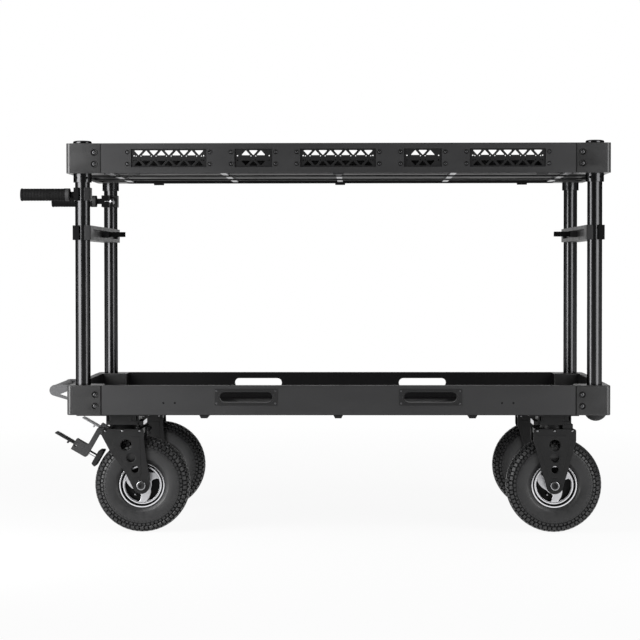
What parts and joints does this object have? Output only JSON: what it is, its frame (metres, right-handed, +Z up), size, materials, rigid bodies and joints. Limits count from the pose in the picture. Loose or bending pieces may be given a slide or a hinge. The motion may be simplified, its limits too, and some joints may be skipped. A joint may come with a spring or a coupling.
{
  "type": "cart workstation",
  "caption": "Film and camera cart: a railed shelf over a railed tray on round posts, with crossbars, push handles, an end bumper and pneumatic casters, braked and swivelling at the handle end",
  "frame": {"origin": "centre of the cart's outline on the floor, under the middle between the handle ends and the right rail", "axes": "+X along the cart away from the push handles, +Y across it, +Z up"},
  "size_m": [1.502, 0.7134, 1.0009],
  "materials": {
    "rail_anodised": "black anodised",
    "block_anodised": "black anodised",
    "mesh_panel_black": "matte black",
    "floor_anodised": "matte black anodised",
    "frame_satin": "satin",
    "bumper_anodised": "anodised grey-black",
    "post_black": "gloss black anodised",
    "foot_rubber": "matte",
    "clamp_black": "black anodised",
    "grip_rubber": "matte",
    "caster_powder": "black powder coat",
    "axle_steel": "zinc plated",
    "rim_polished": "polished and black",
    "tyre_rubber": "matte",
    "brake_powder": "grey-black powder coat",
    "pedal_steel": "black",
    "brake_pad_rubber": "matte"
  },
  "bodies": {
    "root": {"upper_rail_front": "rail_anodised", "upper_rail_back": "rail_anodised", "upper_rail_left": "rail_anodised", "upper_rail_right": "rail_anodised", "lower_rail_front": "rail_anodised", "lower_rail_back": "rail_anodised", "lower_rail_left": "rail_anodised", "lower_rail_right": "rail_anodised", "upper_block_front_left": "block_anodised", "upper_block_front_right": "block_anodised", "upper_block_back_left": "block_anodised", "upper_block_back_right": "block_anodised", "lower_block_front_left": "block_anodised", "lower_block_front_right": "block_anodised", "lower_block_back_left": "block_anodised", "lower_block_back_right": "block_anodised", "mesh_panel_front": "mesh_panel_black", "mesh_panel_back": "mesh_panel_black", "mesh_panel_left": "mesh_panel_black", "mesh_panel_right": "mesh_panel_black", "shelf_floor": "floor_anodised", "tray_floor": "floor_anodised", "shelf_frame": "frame_satin", "end_bumper": "bumper_anodised", "post_front_left": "post_black", "post_front_right": "post_black", "post_back_left": "post_black", "post_back_right": "post_black", "foot_front_right": "foot_rubber", "foot_back_right": "foot_rubber", "caster_fork_front_right": "caster_powder", "caster_fork_back_right": "caster_powder", "caster_bracket_front_left": "caster_powder", "caster_bracket_back_left": "caster_powder", "caster_axle_front_right": "axle_steel", "caster_axle_back_right": "axle_steel"},
    "fork_front_left": {"caster_fork_front_left": "caster_powder", "caster_axle_front_left": "axle_steel", "brake_arm_front_left": "brake_powder"},
    "wheel_front_left": {"caster_rim_front_left": "rim_polished", "caster_tyre_front_left": "tyre_rubber"},
    "shoe_front_left": {"brake_shoe_front_left": "brake_pad_rubber"},
    "pedal_front_left": {"brake_pedal_front_left": "pedal_steel"},
    "wheel_front_right": {"caster_rim_front_right": "rim_polished", "caster_tyre_front_right": "tyre_rubber"},
    "handle_front": {"handle_clamp_front": "clamp_black", "handle_grip_front": "grip_rubber"},
    "fork_back_left": {"caster_fork_back_left": "caster_powder", "caster_axle_back_left": "axle_steel", "brake_arm_back_left": "brake_powder"},
    "wheel_back_left": {"caster_rim_back_left": "rim_polished", "caster_tyre_back_left": "tyre_rubber"},
    "shoe_back_left": {"brake_shoe_back_left": "brake_pad_rubber"},
    "pedal_back_left": {"brake_pedal_back_left": "pedal_steel"},
    "wheel_back_right": {"caster_rim_back_right": "rim_polished", "caster_tyre_back_right": "tyre_rubber"},
    "handle_back": {"handle_clamp_back": "clamp_black", "handle_grip_back": "grip_rubber"},
    "crossbar_left_body": {"crossbar_left": "clamp_black"},
    "crossbar_right_body": {"crossbar_right": "clamp_black"}
  },
  "joints": [
    {"name": "swivel_front_left", "type": "hinge", "parent": "root", "child": "fork_front_left", "pos_m": [-0.488, -0.278, 0.267], "axis": [0, 0, 1], "continuous": true},
    {"name": "spin_front_left", "type": "hinge", "parent": "fork_front_left", "child": "wheel_front_left", "pos_m": [-0.4403, -0.278, 0.1225], "axis": [0, 1, 0], "continuous": true},
    {"name": "spin_front_right", "type": "hinge", "parent": "root", "child": "wheel_front_right", "pos_m": [0.613, -0.278, 0.1225], "axis": [0, 1, 0], "continuous": true},
    {"name": "brake_press_front_left", "type": "hinge", "parent": "fork_front_left", "child": "pedal_front_left", "pos_m": [-0.61256, -0.278, 0.22114], "axis": [0, -1, 0], "range_deg": [0, 12]},
    {"name": "brake_travel_front_left", "type": "slide", "parent": "fork_front_left", "child": "shoe_front_left", "axis": [0.866, 0, -0.5], "range_m": [0, 0.0025]},
    {"name": "handle_swing_front", "type": "hinge", "parent": "root", "child": "handle_front", "pos_m": [-0.5885, -0.318, 0.865], "axis": [0, 0, -1], "range_deg": [0, 90]},
    {"name": "swivel_back_left", "type": "hinge", "parent": "root", "child": "fork_back_left", "pos_m": [-0.488, 0.278, 0.267], "axis": [0, 0, 1], "continuous": true},
    {"name": "spin_back_left", "type": "hinge", "parent": "fork_back_left", "child": "wheel_back_left", "pos_m": [-0.4403, 0.278, 0.1225], "axis": [0, 1, 0], "continuous": true},
    {"name": "spin_back_right", "type": "hinge", "parent": "root", "child": "wheel_back_right", "pos_m": [0.613, 0.278, 0.1225], "axis": [0, 1, 0], "continuous": true},
    {"name": "brake_press_back_left", "type": "hinge", "parent": "fork_back_left", "child": "pedal_back_left", "pos_m": [-0.61256, 0.278, 0.22114], "axis": [0, -1, 0], "range_deg": [0, 12]},
    {"name": "brake_travel_back_left", "type": "slide", "parent": "fork_back_left", "child": "shoe_back_left", "axis": [0.866, 0, -0.5], "range_m": [0, 0.0025]},
    {"name": "handle_swing_back", "type": "hinge", "parent": "root", "child": "handle_back", "pos_m": [-0.5885, 0.318, 0.865], "axis": [0, 0, 1], "range_deg": [0, 90]},
    {"name": "crossbar_height_left", "type": "slide", "parent": "root", "child": "crossbar_left_body", "axis": [0, 0, 1], "range_m": [-0.34, 0.05]},
    {"name": "crossbar_height_right", "type": "slide", "parent": "root", "child": "crossbar_right_body", "axis": [0, 0, 1], "range_m": [-0.34, 0.05]}
  ],
  "couplings": [
    {"joint": "brake_travel_front_left", "follows": "brake_press_front_left", "m_per_rad": 0.0119},
    {"joint": "brake_travel_back_left", "follows": "brake_press_back_left", "m_per_rad": 0.0119}
  ]
}
